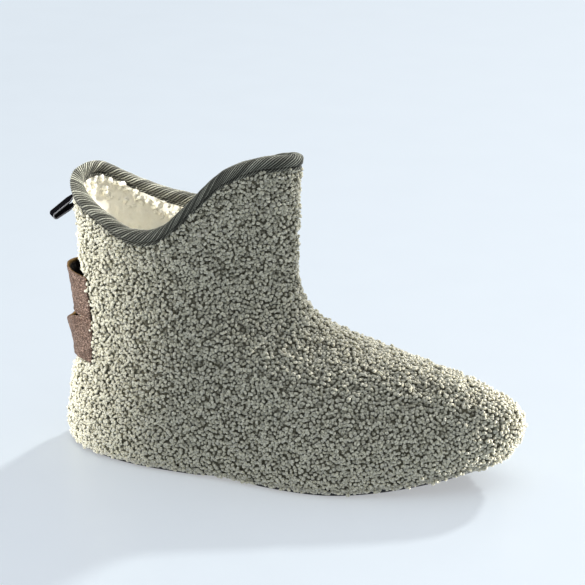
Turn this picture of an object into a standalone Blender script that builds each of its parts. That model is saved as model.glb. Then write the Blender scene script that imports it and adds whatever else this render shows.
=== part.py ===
"""Ankle-high house slipper for the right foot, in metres.

+Z is up, the toe points to +X and the outer side of the foot is at -Y. Every piece follows one surface, the
outside of the upper, which upper_outside() works out from SECTIONS, STATIONS and COLLAR_EDGE. A place on it
has two shares: around runs from the back seam (0) by the outer side (0.25) to the toe (0.5) and back by the
inner side, and up runs from the sole seam (0) to the collar edge (1)."""

import math
from collections import namedtuple

import bpy
import numpy as np

# Driving sizes
LENGTH = 0.261
BALL_HALF_WIDTH = 0.050
COLLAR_HEIGHT = 0.1725
SEAT_GAP = 0.0003

# The ball of the foot rolls up into a sprung toe, which swings to the inner side
ROLL_START = 0.160
TOE_SPRING = 0.014
SOLE_LIFT = 0.005
SOLE_LIFT_LEVELS = 2.5
SOLE_TAPER = 0.0015
TOE_SWING = 0.002

# Wall of the upper: curly outer fabric with its backing and the lining's base
WALL = 0.004
TURNED_UNDER = 0.08
AROUND_STEPS = 64
UP_STEPS = 23
SLOPE_STEP = 1e-4
HEIGHT_STEPS = 400

# Outsole and insole
SOLE_THICKNESS = 0.0042
SOLE_INSET = 0.0020
SOLE_EDGE = 0.0010
ARCH_RISE = 0.0015
ARCH_BACK = 0.085
ARCH_FRONT = 0.130
INSOLE_THICKNESS = 0.0042
INSOLE_GAP = 0.0007
PLATE_COLUMNS = 4
SEAM_HEIGHT = SOLE_THICKNESS + SEAT_GAP

# Bias binding folded over the collar edge
BINDING_THICKNESS = 0.0014
BINDING_GAP = 0.0004
BINDING_LEG = 0.0055
BINDING_CROWN = 0.0021
BINDING_LIP = 0.4
CROWN_STEPS = 6

# Ribbon pull loop under the binding at the back seam
LOOP_WIDTH = 0.0070
LOOP_THICKNESS = 0.0010
LOOP_TOP = 0.1402
LOOP_BOTTOM = 0.1352
LOOP_TIP_X = -0.0090
LOOP_TIP_Z = 0.1290
LOOP_TIP_RADIUS = 0.0014
LOOP_TURN = math.radians(40)
LOOP_TURN_REACH = 0.0060
STRAND_STEPS = 4
TIP_STEPS = 8

# Two leather tabs sewn down at their sides on the heel and standing off it in between
LEATHER = 0.0015
TAB_HALF_AROUND = 0.094
TAB_ACROSS_STEPS = 14
TAB_UP_STEPS = 6
Tab = namedtuple("Tab", "name foot rim foot_scoop rim_scoop foot_stand rim_stand")
TABS = (
    Tab("heel_tab_upper", 0.0772, 0.0988, 0.0032, -0.0022, 0.0040, 0.0085),
    Tab("heel_tab_lower", 0.0531, 0.0764, 0.0039, 0.0074, 0.0002, 0.0085),
)

# Sections of the upper from the sole seam to the collar edge, each a closed oval loop from a point on the
# back seam to one on the toe and instep line. x is a share of LENGTH, z of COLLAR_HEIGHT and half_width of
# BALL_HALF_WIDTH. foot says how far the loop follows the footprint and not the shaft, and dip how far it
# follows the collar's wave.
SEAM = SEAM_HEIGHT / COLLAR_HEIGHT
Section = namedtuple("Section", "back_x back_z front_x front_z half_width foot dip")
SECTIONS = (
    Section(0.003, SEAM, 0.976, SEAM, 0.935, 1.00, 0.00),
    Section(0.000, 0.060, 0.993, 0.062, 0.982, 1.00, 0.00),
    Section(0.000, 0.116, 1.000, 0.116, 1.000, 1.00, 0.00),
    Section(0.006, 0.180, 0.987, 0.174, 0.995, 1.00, 0.00),
    Section(0.015, 0.249, 0.948, 0.221, 0.970, 1.00, 0.00),
    Section(0.025, 0.325, 0.885, 0.279, 0.935, 0.95, 0.00),
    Section(0.031, 0.400, 0.789, 0.337, 0.885, 0.85, 0.00),
    Section(0.034, 0.475, 0.667, 0.398, 0.830, 0.65, 0.02),
    Section(0.033, 0.551, 0.559, 0.468, 0.775, 0.40, 0.08),
    Section(0.030, 0.626, 0.515, 0.574, 0.735, 0.20, 0.20),
    Section(0.025, 0.701, 0.507, 0.684, 0.710, 0.08, 0.42),
    Section(0.019, 0.794, 0.511, 0.852, 0.700, 0.00, 0.70),
    Section(0.013, 0.878, 0.515, 1.000, 0.700, 0.00, 1.00),
)

# Fullness of a loop at shares of its length, beside a plain oval of the same half width: 1 is the oval
Station = namedtuple("Station", "share outer inner shaft")
STATIONS = (
    Station(0.00, 1.24, 1.14, 0.97),
    Station(0.14, 1.14, 1.06, 0.98),
    Station(0.40, 0.96, 0.76, 1.00),
    Station(0.64, 1.06, 0.92, 0.92),
    Station(0.85, 0.87, 1.01, 0.63),
    Station(1.00, 0.72, 1.05, 0.66),
)

# Height of the collar edge on each side, as a share of COLLAR_HEIGHT, on the way from the back seam (0) to
# the front (1)
Edge = namedtuple("Edge", "way outer inner")
COLLAR_EDGE = (
    Edge(0.000, 0.878, 0.878),
    Edge(0.160, 0.838, 0.882),
    Edge(0.300, 0.794, 0.820),
    Edge(0.410, 0.758, 0.780),
    Edge(0.490, 0.777, 0.778),
    Edge(0.565, 0.857, 0.830),
    Edge(0.650, 0.953, 0.912),
    Edge(0.750, 0.996, 0.965),
    Edge(0.850, 1.004, 0.988),
    Edge(1.000, 1.000, 1.000),
)


def column(table, name):
    return np.array([getattr(row, name) for row in table])


def smooth(knots, values, at):
    """A smooth curve through the rows of a table."""
    slopes = np.gradient(values, knots)
    k = np.clip(np.searchsorted(knots, at, side="right") - 1, 0, len(knots) - 2)
    gap = knots[k + 1] - knots[k]
    s = (at - knots[k]) / gap
    start = values[k] * (1 + 2 * s) + slopes[k] * gap * s
    end = values[k + 1] * (3 - 2 * s) + slopes[k + 1] * gap * (s - 1)
    return start * (1 - s) ** 2 + end * s**2


def by_side(table, knots, angle, at):
    """A table's outer column on the outer side of the foot, and its inner column on the inner side."""
    outer = smooth(column(table, knots), column(table, "outer"), at)
    inner = smooth(column(table, knots), column(table, "inner"), at)
    return np.where(np.sin(angle) >= 0, outer, inner)


def roll(x):
    """How far along the sprung toe x is, squared so that the spring starts level."""
    return np.clip((x - ROLL_START) / (LENGTH - ROLL_START), 0, None) ** 2


def upper_outside(around, up):
    around, up = np.broadcast_arrays(np.asarray(around, float), np.asarray(up, float))
    level = up * (len(SECTIONS) - 1)
    levels = np.arange(len(SECTIONS), dtype=float)
    loop = Section(*(smooth(levels, column(SECTIONS, name), level) for name in Section._fields))
    angle = 2 * math.pi * around
    along = (1 - np.cos(angle)) / 2
    way = 1 - np.abs(1 - 2 * np.mod(around, 1))
    foot = by_side(STATIONS, "share", angle, along)
    shaft = smooth(column(STATIONS, "share"), column(STATIONS, "shaft"), along)
    fullness = loop.foot * foot + (1 - loop.foot) * shaft
    top = SECTIONS[-1]
    wave = by_side(COLLAR_EDGE, "way", angle, way) - top.back_z - (top.front_z - top.back_z) * along
    x = LENGTH * (loop.back_x + (loop.front_x - loop.back_x) * along)
    lift = TOE_SPRING + SOLE_LIFT * np.clip(1 - level / SOLE_LIFT_LEVELS, 0, 1)
    y = -BALL_HALF_WIDTH * loop.half_width * np.sin(angle) * fullness
    z = COLLAR_HEIGHT * (loop.back_z + (loop.front_z - loop.back_z) * along + loop.dip * wave)
    return np.stack([x, y + TOE_SWING * roll(x), z + lift * roll(x)], axis=-1)


def unit(vectors):
    return vectors / np.linalg.norm(vectors, axis=-1, keepdims=True)


def slope_around(around, up):
    return upper_outside(around + SLOPE_STEP, up) - upper_outside(around - SLOPE_STEP, up)


def slope_up(around, up):
    """Change of place for a whole unit of up, taken inside the seam and the collar edge."""
    top = np.minimum(up + SLOPE_STEP, 1)
    bottom = np.maximum(up - SLOPE_STEP, 0)
    return (upper_outside(around, top) - upper_outside(around, bottom)) / (top - bottom)[..., None]


def outward(around, up):
    around, up = np.broadcast_arrays(np.asarray(around, float), np.asarray(up, float))
    return unit(np.cross(slope_around(around, up), slope_up(around, up)))


def upper_inside(around, up):
    """The wall's inner face. Where the upper turns under, it is set in level, so the seam edge lies flat."""
    away = outward(around, up)
    away[..., 2] *= np.clip(np.broadcast_to(up, away.shape[:-1]) / TURNED_UNDER, 0, 1)
    return upper_outside(around, up) - WALL * unit(away)


def up_at_back(height, around=0.0):
    """The share up at which the surface reaches a height, at one place around it."""
    ups = np.linspace(0, 1, HEIGHT_STEPS)
    heights = upper_outside(np.full_like(ups, around), ups)[:, 2]
    return np.interp(height, heights, ups)


def ring_faces(rings, per_ring, closed=False):
    """Quads between rings of points; closed also joins the last ring to the first."""
    faces = []
    for i in range(rings if closed else rings - 1):
        for j in range(per_ring):
            a, b = i * per_ring, (i + 1) % rings * per_ring
            n = (j + 1) % per_ring
            faces.append((a + j, a + n, b + n, b + j))
    return faces


def make(name, points, faces, material):
    mesh = bpy.data.meshes.new(name)
    mesh.from_pydata([tuple(p) for p in points], [], faces)
    mesh.validate()
    mesh.materials.append(material)
    obj = bpy.data.objects.new(name, mesh)
    bpy.context.scene.collection.objects.link(obj)
    return obj


def material(name, colour, roughness):
    made = bpy.data.materials.new(name)
    made.use_nodes = True
    shader = made.node_tree.nodes["Principled BSDF"]
    shader.inputs["Base Color"].default_value = (*colour, 1)
    shader.inputs["Roughness"].default_value = roughness
    shader.inputs["Metallic"].default_value = 0
    return made


def around_shares():
    return np.arange(AROUND_STEPS) / AROUND_STEPS


def binding_foot(around):
    """The share up of the binding's lower edge."""
    ones = np.ones_like(around)
    return 1 - BINDING_LEG / np.linalg.norm(slope_up(around, ones), axis=-1)


def build_upper(cloth):
    around = around_shares()
    foot = binding_foot(around)
    ups = [foot * k / UP_STEPS for k in range(UP_STEPS + 1)] + [np.ones_like(foot)]
    outer = [upper_outside(around, up) for up in ups]
    inner = [upper_inside(around, up) for up in ups]
    rings = outer + inner[::-1]
    faces = ring_faces(len(rings), AROUND_STEPS, closed=True)
    return make("upper", np.concatenate(rings), faces, cloth)


def plate(name, rings, low, high, cloth):
    """A thin plate: rings of its edge from the bottom face up, with a ladder of rungs across each face.
    low and high give the height of each face at the points of its rungs."""
    half = AROUND_STEPS // 2
    points = [p for ring in rings for p in ring]
    faces = ring_faces(len(rings), AROUND_STEPS)
    last = len(points) - AROUND_STEPS
    for ring, start, height, turned in ((rings[0], 0, low, True), (rings[-1], last, high, False)):
        rungs = []
        for j in range(half + 1):
            outer, inner = j, (AROUND_STEPS - j) % AROUND_STEPS
            if outer == inner:
                rungs.append([start + outer] * (PLATE_COLUMNS + 1))
                continue
            rung = [start + outer]
            for c in range(1, PLATE_COLUMNS):
                p = ring[outer] + (ring[inner] - ring[outer]) * c / PLATE_COLUMNS
                p[2] = height(p)
                rung.append(len(points))
                points.append(p)
            rungs.append(rung + [start + inner])
        for first, second in zip(rungs, rungs[1:]):
            for c in range(PLATE_COLUMNS):
                corners = (first[c], second[c], second[c + 1], first[c + 1])
                face = tuple(dict.fromkeys(corners))
                faces.append(face[::-1] if turned else face)
    return make(name, points, faces, cloth)


def lift_of(x):
    return (TOE_SPRING + SOLE_LIFT) * roll(x)


def floor_line(p):
    """Height of the outsole's underside: level at the heel and the ball, lifted at the arch and the toe."""
    reach = np.clip((p[0] - ARCH_BACK) / (ARCH_FRONT - ARCH_BACK), 0, 1)
    return lift_of(p[0]) + SOLE_TAPER * roll(p[0]) + ARCH_RISE * math.sin(math.pi * reach) ** 2


def sole_top(p):
    return lift_of(p[0]) + SOLE_THICKNESS


def insole_top(p):
    return lift_of(p[0]) + SEAM_HEIGHT + INSOLE_THICKNESS


def insole_bottom(p):
    return lift_of(p[0]) + SEAM_HEIGHT


def set_in(ring, away, distance):
    """A ring moved level towards its inside."""
    level = away * (1, 1, 0)
    return ring - unit(level) * distance


def at_height(ring, height):
    return np.array([(p[0], p[1], height(p)) for p in ring])


def build_outsole(rubber):
    around = around_shares()
    away = outward(around, 0)
    edge = set_in(upper_outside(around, 0), away, SOLE_INSET)
    rings = [
        at_height(set_in(edge, away, SOLE_EDGE), floor_line),
        at_height(edge, lambda p: floor_line(p) + SOLE_EDGE),
        at_height(edge, sole_top),
    ]
    return plate("outsole", rings, floor_line, sole_top, rubber)


def build_insole(fleece):
    """Its edge follows the inner face of the wall, from the seam to the height of the insole's top."""
    around = around_shares()
    next_up = binding_foot(around) / UP_STEPS
    seam = upper_inside(around, 0)
    above = upper_inside(around, next_up)
    climb = (at_height(seam, insole_top) - seam)[:, 2] / (above - seam)[:, 2]
    edge = seam + (above - seam) * np.clip(climb, 0, 1)[:, None]
    away = outward(around, 0)
    rings = [
        at_height(set_in(seam, away, INSOLE_GAP), insole_bottom),
        at_height(set_in(edge, away, INSOLE_GAP), insole_top),
    ]
    return plate("insole", rings, insole_bottom, insole_top, fleece)


def build_binding(tape):
    """The tape's section, folded over the wall: outside leg, crown and inside leg, then back by the slot."""
    around = around_shares()
    foot = binding_foot(around)
    top = np.ones_like(foot)
    lip = foot + (top - foot) * BINDING_LIP
    rise = unit(slope_up(around, top))
    near = BINDING_GAP
    far = BINDING_GAP + BINDING_THICKNESS

    def off(up, distance):
        return upper_outside(around, up) + outward(around, up) * distance

    half = WALL / 2 + far
    middle = off(top, -WALL / 2)
    crown = [
        middle + outward(around, top) * half * math.cos(t) + rise * BINDING_CROWN * math.sin(t)
        for t in (math.pi * k / CROWN_STEPS for k in range(CROWN_STEPS + 1))
    ]
    outside = [off(foot, near), off(foot, (near + far) / 2), off(lip, far)]
    inside = [off(lip, -WALL - far), off(foot, -WALL - (near + far) / 2), off(foot, -WALL - near)]
    slot = [off(top, -WALL - near) + rise * SEAT_GAP, off(top, near) + rise * SEAT_GAP]
    rings = outside + crown + inside + slot
    faces = ring_faces(len(rings), AROUND_STEPS, closed=True)
    return make("collar_binding", np.concatenate(rings), faces, tape)


def loop_line(offset):
    """Side view of the ribbon, as (x, z) from its upper end round the tip to its lower end. offset is
    measured outward from the middle of the ribbon's thickness."""
    ups = [up_at_back(z) for z in (LOOP_TOP, LOOP_BOTTOM)]
    ends = [upper_outside(0.0, up) + outward(0.0, up) * SEAT_GAP for up in ups]
    upper_end, lower_end = (np.array((p[0], p[2])) for p in ends)
    tip = np.array((LOOP_TIP_X, LOOP_TIP_Z))
    turns = []
    for end, sign in ((upper_end, 1), (lower_end, -1)):
        way = tip - end
        lean = math.asin(LOOP_TIP_RADIUS / np.linalg.norm(way))
        turns.append(math.atan2(way[1], way[0]) - sign * (math.pi / 2 + lean))
    first, last = turns
    if last < first:
        last += 2 * math.pi
    arc = [first + (last - first) * k / TIP_STEPS for k in range(TIP_STEPS + 1)]
    out = [np.array((math.cos(t), math.sin(t))) for t in arc]
    curve = [tip + o * (LOOP_TIP_RADIUS + offset) for o in out]
    shares = [k / STRAND_STEPS for k in range(STRAND_STEPS)]
    start = upper_end + out[0] * offset
    finish = lower_end + out[-1] * offset
    going = [start + (curve[0] - start) * s for s in shares]
    coming = [finish + (curve[-1] - finish) * s for s in reversed(shares)]
    return going + curve + coming


def loop_point(place, side):
    """A point of the ribbon from its side view (x, z) and its distance across. The loop hangs turned to the
    outer side, and the ribbon comes round to that turn over LOOP_TURN_REACH behind the heel."""
    x, z = place
    seam_x = upper_outside(0.0, up_at_back(np.clip(z, LOOP_BOTTOM, LOOP_TOP)))[0]
    back = seam_x - x
    turn = LOOP_TURN * np.clip(back / LOOP_TURN_REACH, 0, 1)
    new_x = seam_x - back * math.cos(LOOP_TURN) - side * math.sin(turn)
    return (new_x, side * math.cos(turn) - back * math.sin(LOOP_TURN), z)


def build_pull_loop(ribbon):
    half = LOOP_THICKNESS / 2
    side = LOOP_WIDTH / 2
    rings = []
    for over, under in zip(loop_line(half), loop_line(-half)):
        edges = ((over, -side), (over, side), (under, side), (under, -side))
        rings.append([loop_point(place, across) for place, across in edges])
    corners = len(rings[0])
    last = len(rings) * corners
    faces = ring_faces(len(rings), corners)
    faces += [tuple(reversed(range(corners))), tuple(range(last - corners, last))]
    return make("pull_loop", [p for ring in rings for p in ring], faces, ribbon)


def build_tab(tab, leather):
    """One leather tab: a curved sheet, close to the heel at its sides and standing off it in the middle."""
    across = np.linspace(-TAB_HALF_AROUND, TAB_HALF_AROUND, TAB_ACROSS_STEPS + 1)
    belly = np.cos(across / TAB_HALF_AROUND * math.pi / 2) ** 2
    inside = []
    outside = []
    for k in range(TAB_UP_STEPS + 1):
        share = k / TAB_UP_STEPS
        foot = tab.foot - tab.foot_scoop * belly
        height = foot + (tab.rim - tab.rim_scoop * belly - foot) * share
        up = np.array([up_at_back(z, a) for z, a in zip(height, across)])
        place = upper_outside(across, up)
        away = outward(across, up)
        stand = SEAT_GAP + belly * (tab.foot_stand + (tab.rim_stand - tab.foot_stand) * share)
        inside.append(place + away * stand[:, None])
        outside.append(place + away * (stand + LEATHER)[:, None])
    rings = [np.concatenate([o, i[::-1]]) for o, i in zip(outside, inside)]
    per_ring = len(rings[0])
    faces = ring_faces(len(rings), per_ring)
    columns = len(across)
    for start, turned in ((0, True), ((len(rings) - 1) * per_ring, False)):
        for j in range(columns - 1):
            back = per_ring - 1 - j
            face = (start + j, start + j + 1, start + back - 1, start + back)
            faces.append(face[::-1] if turned else face)
    return make(tab.name, np.concatenate(rings), faces, leather)


def main():
    for obj in list(bpy.data.objects):
        bpy.data.objects.remove(obj)
    curly_cloth = material("grey curly cloth", (0.33, 0.32, 0.28), 0.95)
    tape = material("grey twill tape", (0.10, 0.10, 0.095), 0.75)
    ribbon = material("black ribbon", (0.010, 0.010, 0.014), 0.60)
    leather = material("brown grained leather", (0.25, 0.15, 0.125), 0.50)
    rubber = material("dark rubber", (0.016, 0.017, 0.022), 0.70)
    fleece = material("cream fleece", (0.82, 0.78, 0.66), 0.95)
    pieces = [
        build_upper(curly_cloth),
        build_outsole(rubber),
        build_insole(fleece),
        build_binding(tape),
        build_pull_loop(ribbon),
    ]
    pieces += [build_tab(tab, leather) for tab in TABS]
    places = np.array([v.co for piece in pieces for v in piece.data.vertices])
    middle = (places.min(axis=0) + places.max(axis=0)) / 2
    for piece in pieces:
        piece.location = (-middle[0], -middle[1], 0)


main()
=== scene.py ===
import math
from collections import namedtuple

import bpy
import numpy as np
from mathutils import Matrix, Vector, noise


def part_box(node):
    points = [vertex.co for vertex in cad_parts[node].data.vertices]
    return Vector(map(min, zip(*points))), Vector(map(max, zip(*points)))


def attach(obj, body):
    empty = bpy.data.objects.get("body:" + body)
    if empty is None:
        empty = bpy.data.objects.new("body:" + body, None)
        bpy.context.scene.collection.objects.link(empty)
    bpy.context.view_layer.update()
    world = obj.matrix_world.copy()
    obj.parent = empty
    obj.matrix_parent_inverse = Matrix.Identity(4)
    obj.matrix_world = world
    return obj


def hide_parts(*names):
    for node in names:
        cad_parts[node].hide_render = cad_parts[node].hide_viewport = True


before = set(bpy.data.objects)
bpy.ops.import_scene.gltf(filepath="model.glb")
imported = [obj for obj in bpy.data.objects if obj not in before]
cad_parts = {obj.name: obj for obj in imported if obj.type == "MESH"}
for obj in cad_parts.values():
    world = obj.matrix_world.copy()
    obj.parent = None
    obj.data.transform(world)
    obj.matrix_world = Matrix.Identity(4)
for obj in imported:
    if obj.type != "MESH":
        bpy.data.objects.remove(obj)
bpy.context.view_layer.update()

MM = 0.001

# Driving sizes of the solids
LENGTH = 0.261
BALL_HALF_WIDTH = 0.050
COLLAR_HEIGHT = 0.1725
ROLL_START = 0.160
TOE_SPRING = 0.014
SOLE_LIFT = 0.005
SOLE_LIFT_LEVELS = 2.5
SOLE_TAPER = 0.0015
TOE_SWING = 0.002
WALL = 0.004
TURNED_UNDER = 0.08
SLOPE_STEP = 1e-4
NEVER_ZERO = 1e-9
HEIGHT_STEPS = 400
SOLID_STEPS = 64
SOLE_THICKNESS = 0.0042
SOLE_INSET = 0.0020
SOLE_EDGE = 0.0010
SEAM_HEIGHT = SOLE_THICKNESS + 0.3 * MM
ARCH_RISE = 0.0015
ARCH_BACK = 0.085
ARCH_FRONT = 0.130
INSOLE_THICKNESS = 0.0042
INSOLE_GAP = 0.0007

# Sections of the upper from the sole seam to the collar edge, as shares of LENGTH, COLLAR_HEIGHT and
# BALL_HALF_WIDTH, with the share of the foot's own fullness there and of the collar's wave
SEAM = SEAM_HEIGHT / COLLAR_HEIGHT
Section = namedtuple("Section", "back_x back_z front_x front_z half_width foot dip")
SECTIONS = (
    Section(0.003, SEAM, 0.976, SEAM, 0.935, 1.00, 0.00),
    Section(0.000, 0.060, 0.993, 0.062, 0.982, 1.00, 0.00),
    Section(0.000, 0.116, 1.000, 0.116, 1.000, 1.00, 0.00),
    Section(0.006, 0.180, 0.987, 0.174, 0.995, 1.00, 0.00),
    Section(0.015, 0.249, 0.948, 0.221, 0.970, 1.00, 0.00),
    Section(0.025, 0.325, 0.885, 0.279, 0.935, 0.95, 0.00),
    Section(0.031, 0.400, 0.789, 0.337, 0.885, 0.85, 0.00),
    Section(0.034, 0.475, 0.667, 0.398, 0.830, 0.65, 0.02),
    Section(0.033, 0.551, 0.559, 0.468, 0.775, 0.40, 0.08),
    Section(0.030, 0.626, 0.515, 0.574, 0.735, 0.20, 0.20),
    Section(0.025, 0.701, 0.507, 0.684, 0.710, 0.08, 0.42),
    Section(0.019, 0.794, 0.511, 0.852, 0.700, 0.00, 0.70),
    Section(0.013, 0.878, 0.515, 1.000, 0.700, 0.00, 1.00),
)
Station = namedtuple("Station", "share outer inner shaft")
STATIONS = (
    Station(0.00, 1.24, 1.14, 0.97),
    Station(0.14, 1.14, 1.06, 0.98),
    Station(0.40, 0.96, 0.76, 1.00),
    Station(0.64, 1.06, 0.92, 0.92),
    Station(0.85, 0.87, 1.01, 0.63),
    Station(1.00, 0.72, 1.05, 0.66),
)
Edge = namedtuple("Edge", "way outer inner")
COLLAR_EDGE = (
    Edge(0.000, 0.878, 0.878),
    Edge(0.160, 0.838, 0.882),
    Edge(0.300, 0.794, 0.820),
    Edge(0.410, 0.758, 0.780),
    Edge(0.490, 0.777, 0.778),
    Edge(0.565, 0.857, 0.830),
    Edge(0.650, 0.953, 0.912),
    Edge(0.750, 0.996, 0.965),
    Edge(0.850, 1.004, 0.988),
    Edge(1.000, 1.000, 1.000),
)

# Soft hollows and swells that a soft upper has, each round a place on it: shares around and up, then its size
# and depth in mm
Crease = namedtuple("Crease", "around up wide high depth")
CREASE_MOST = 1.0 * MM
CREASES = (
    Crease(0.410, 0.60, 14, 8, 0.8),
    Crease(0.590, 0.60, 14, 8, 0.8),
    Crease(0.290, 0.52, 26, 7, 0.6),
    Crease(0.710, 0.52, 26, 7, 0.6),
    Crease(0.170, 0.64, 10, 26, 0.5),
    Crease(0.830, 0.64, 10, 26, 0.5),
    Crease(0.400, 0.30, 30, 10, -0.6),
    Crease(0.600, 0.30, 30, 10, -0.6),
    Crease(0.150, 0.28, 18, 12, -0.5),
)

# Knitted backing and fleece lining, with the steps of their meshes and how far each goes up under the tape
PILE = 1.6 * MM
BACKING_DEPTH = 3.0 * MM
BACKING_RISE = 0.2 * MM
BACKING_AROUND = 144
BACKING_UP = 54
BACKING_UNDER_TAPE = 0.5
LINING_GAP = 0.1 * MM
LINING_AROUND = 300
LINING_UP = 80
LINING_CROWDS_UP = 1.5
LINING_UNDER_TAPE = 0.3
LUMP = 4.5 * MM
SMALL_LUMP = 2.2 * MM
LUMP_BASE = 0.15 * MM
LUMP_STAND = 0.45 * MM

# Curls of the cloth's pile: short loops of thick yarn
CURL_SEED = 4
CURL_SPACING = 1.62 * MM
CURL_TRIES = 380000
CURL_RADIUS = 0.86 * MM
YARN_RADIUS = 0.84 * MM
CURL_POINTS = 6
CURL_SIDES = 4
CURL_FORMS = 40
CURL_PIECES = 6
CURL_TILT = 0.9
CURLS_UNDER_TAPE = 0.1
YARN_END = 0.55
YARN_END_SHARE = 0.17

# Share of the tries that fall on a smaller area of cloth than the one where every try counts
FULL_AREA = 0.98

# How curls differ, from least to most: turns, then lengths in a curl's radius, that radius, and the rise in
# the yarn's radius, with the share of strays and their further rise
CURL_TURNS = (0.5, 1.1)
CURL_REACH = (0.75, 1.2)
CURL_CLOSES = (0.0, 0.6)
CURL_OVAL = (0.5, 1.0)
CURL_ARCH = (0.2, 0.9)
CURL_CLIMB = (-0.4, 0.5)
CURL_SIZES = (0.8, 1.25)
CURL_RISE = (0.4, 1.0)
CURL_STRAYS = 0.26
STRAY_RISE = (0.4, 1.6)

# Tone of a curl from 0, dark, to 1, pale: at its root, the paleness added over a pile's height as painted
# shade that darkens the root, and how curls differ
ROOT_TONE = 0.36
PAINTED_ROOT_SHADE = 0.34
TONE_SPREAD = 0.17

# Clumps that the curls felt into: their size, how far they stand out, over what base, and how much paler
CLUMP = 4.5 * MM
CLUMP_STAND = 0.95 * MM
CLUMP_BASE = 0.45 * MM
CLUMP_PALER = 0.3

# Share of curls painted paler than the rest as painted glints, and how much
GLINT_CURLS = 0.12
GLINT_PALER = 0.35

# Rows of curls that hang over the sole's edge, in mm below the seam, and the painted bounce light from the
# floor that makes the cloth paler there, with how far up it reaches
HEM_DROPS = (0.2, 1.0)
HEM_UNEVEN = (0.4, 1.6)
HEM_CURLS = 460
HEM_SHIFT = 0.3
HEM_PAINTED_BOUNCE = 0.55
HEM_BOUNCE_FADE = 0.2

# Tufts of the lining. They stand out most at the tape's inner edge, and sink over a band below it.
TUFT_SEED = 9
TUFT_TRIES = 50000
TUFT_SPACING = 2.4 * MM
TUFT_RADIUS = 1.2 * MM
TUFT_YARN = 1.3 * MM
TUFT_SIDES = 6
TUFT_SUNK = 1.8 * MM
TUFT_SINKS = 1.6 * MM
TUFT_LOWEST = 0.66
TUFT_BAND = 0.08

# Collar tape
TAPE_GAP = 0.2 * MM
TAPE_THICKNESS = 1.1 * MM
TAPE_LEG = 5.5 * MM
TAPE_CROWN = 2.1 * MM
TAPE_RIB = 2.0 * MM
TAPE_RIB_HEIGHT = 0.60 * MM
TAPE_RIB_LEAN = 1.4
# Painted highlight on the ribs' crests with painted shade between them: its strength and sharpness, the least
# share of a rib, the highlight left on flat rows, and the ribs' uneven strength
TAPE_RIB_HIGHLIGHT = 1.4
TAPE_RIB_SHARP = 3
TAPE_RIB_LEAST = 0.6
TAPE_FLAT_HIGHLIGHT = 0.45
TAPE_RIB_UNEVEN = (0.45, 1.0)
TAPE_SEED = 6
TAPE_STEPS_PER_RIB = 8
TAPE_CROWN_POINTS = 9
TAPE_UNEVEN = 0.35 * MM
TAPE_UNEVEN_SIZE = 7 * MM
TAPE_FOLD = 0.1 * TAPE_LEG
TAPE_CORE = 0.4 * TAPE_LEG
COLLAR_POINTS = 2001

# Face of the tape outside the wall, from its foot up: a flat strip, a groove, then the roll. Distances in mm
# out of the wall and over the collar edge, and the share of a rib's height that stands there, which also
# strengthens the ribs' painted highlight.
Rib = namedtuple("Rib", "out high stand")
TAPE_FACE = (
    Rib(0.00, -5.5, 0.0),
    Rib(0.60, -5.5, 0.2),
    Rib(0.85, -4.9, 0.4),
    Rib(0.80, -4.2, 0.4),
    Rib(0.30, -3.8, 0.0),
    Rib(0.30, -3.5, 0.0),
    Rib(1.00, -3.1, 0.3),
    Rib(1.30, -2.4, 0.4),
    Rib(1.35, -1.6, 0.5),
    Rib(1.30, -0.8, 0.8),
)

# Heel tabs
LEATHER = 0.0015
TAB_HALF_AROUND = 0.094
TAB_GAP = 0.3 * MM
TAB_COLUMNS = 73
TAB_ROWS = 37
Tab = namedtuple("Tab", "name foot rim foot_scoop rim_scoop foot_stand rim_stand")
TABS = (
    Tab("heel_tab_upper", 0.0764, 0.0988, 0.0024, -0.0022, 0.0040, 0.0085),
    Tab("heel_tab_lower", 0.0531, 0.0764, 0.0039, 0.0090, 0.0002, 0.0085),
)

# Crinkles of the leather, the smaller ones drawn out level, its pinched edges and where its raw rim starts
CRINKLE = 0.45 * MM
CRINKLE_SIZE = 4 * MM
SMALL_CRINKLE_SIZE = 3 * MM
SMALL_CRINKLE_SHAPE = (1, 1, 2.5)
EDGE_PINCH = 0.25 * LEATHER
RIM_START = 0.93

# How far the curls stand up round the tabs' sewn sides, how far across the cloth is bare behind the tabs, and
# how far across it shows curls between the two
TAB_BITE = 0.9 * MM
TAB_BITE_WIDTH = 0.004
TAB_BARE = 0.93
TAB_GAP_SEEN = 0.45

# Stitches at the sewn sides of the tabs: a row for each, as a share from its foot to its rim
STITCH_ROWS = (0.08, 0.93)
STITCHES = 20
STITCH_REACH = 0.93
STITCH_START = 0.40
STITCH_RADIUS = 0.22 * MM
STITCH_STAND = 1.2
STITCH_DIP = 1.8
STITCH_SHARE = 0.7
STITCH_END = 0.2
STITCH_POINTS = 7
STITCH_SIDES = 6
HEEL_MIDDLE = (0.03, 0, 0)

# Pull loop
LOOP_WIDTH = 0.0070
LOOP_THICKNESS = 0.0010
LOOP_TOP = 0.1402
LOOP_BOTTOM = 0.1352
LOOP_TIP_X = -0.0090
LOOP_TIP_Z = 0.1290
LOOP_TIP_RADIUS = 0.0014
LOOP_TURN = math.radians(40)
LOOP_TURN_REACH = 0.0060
LOOP_STRAND_STEPS = 14
LOOP_TIP_STEPS = 16
LOOP_EDGE = 0.92
LOOP_COLUMNS = 11

# Meshes of the sole and insole, the sole's zigzag tread, and the insole's crown and soft lumps
SOLE_AROUND = 240
SOLE_ACROSS = 60
TREAD_PITCH = 0.0055
TREAD_ZIGZAG = 0.010
TREAD_GROOVE = 0.17
TREAD_DEPTH = 0.7 * MM
TREAD_RIM = 0.006
INSOLE_AROUND = 200
INSOLE_ACROSS = 50
INSOLE_SIDE = 0.75
INSOLE_CROWN = 0.2
INSOLE_LUMP = 3.2 * MM
INSOLE_LUMP_STAND = 0.3 * MM

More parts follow.
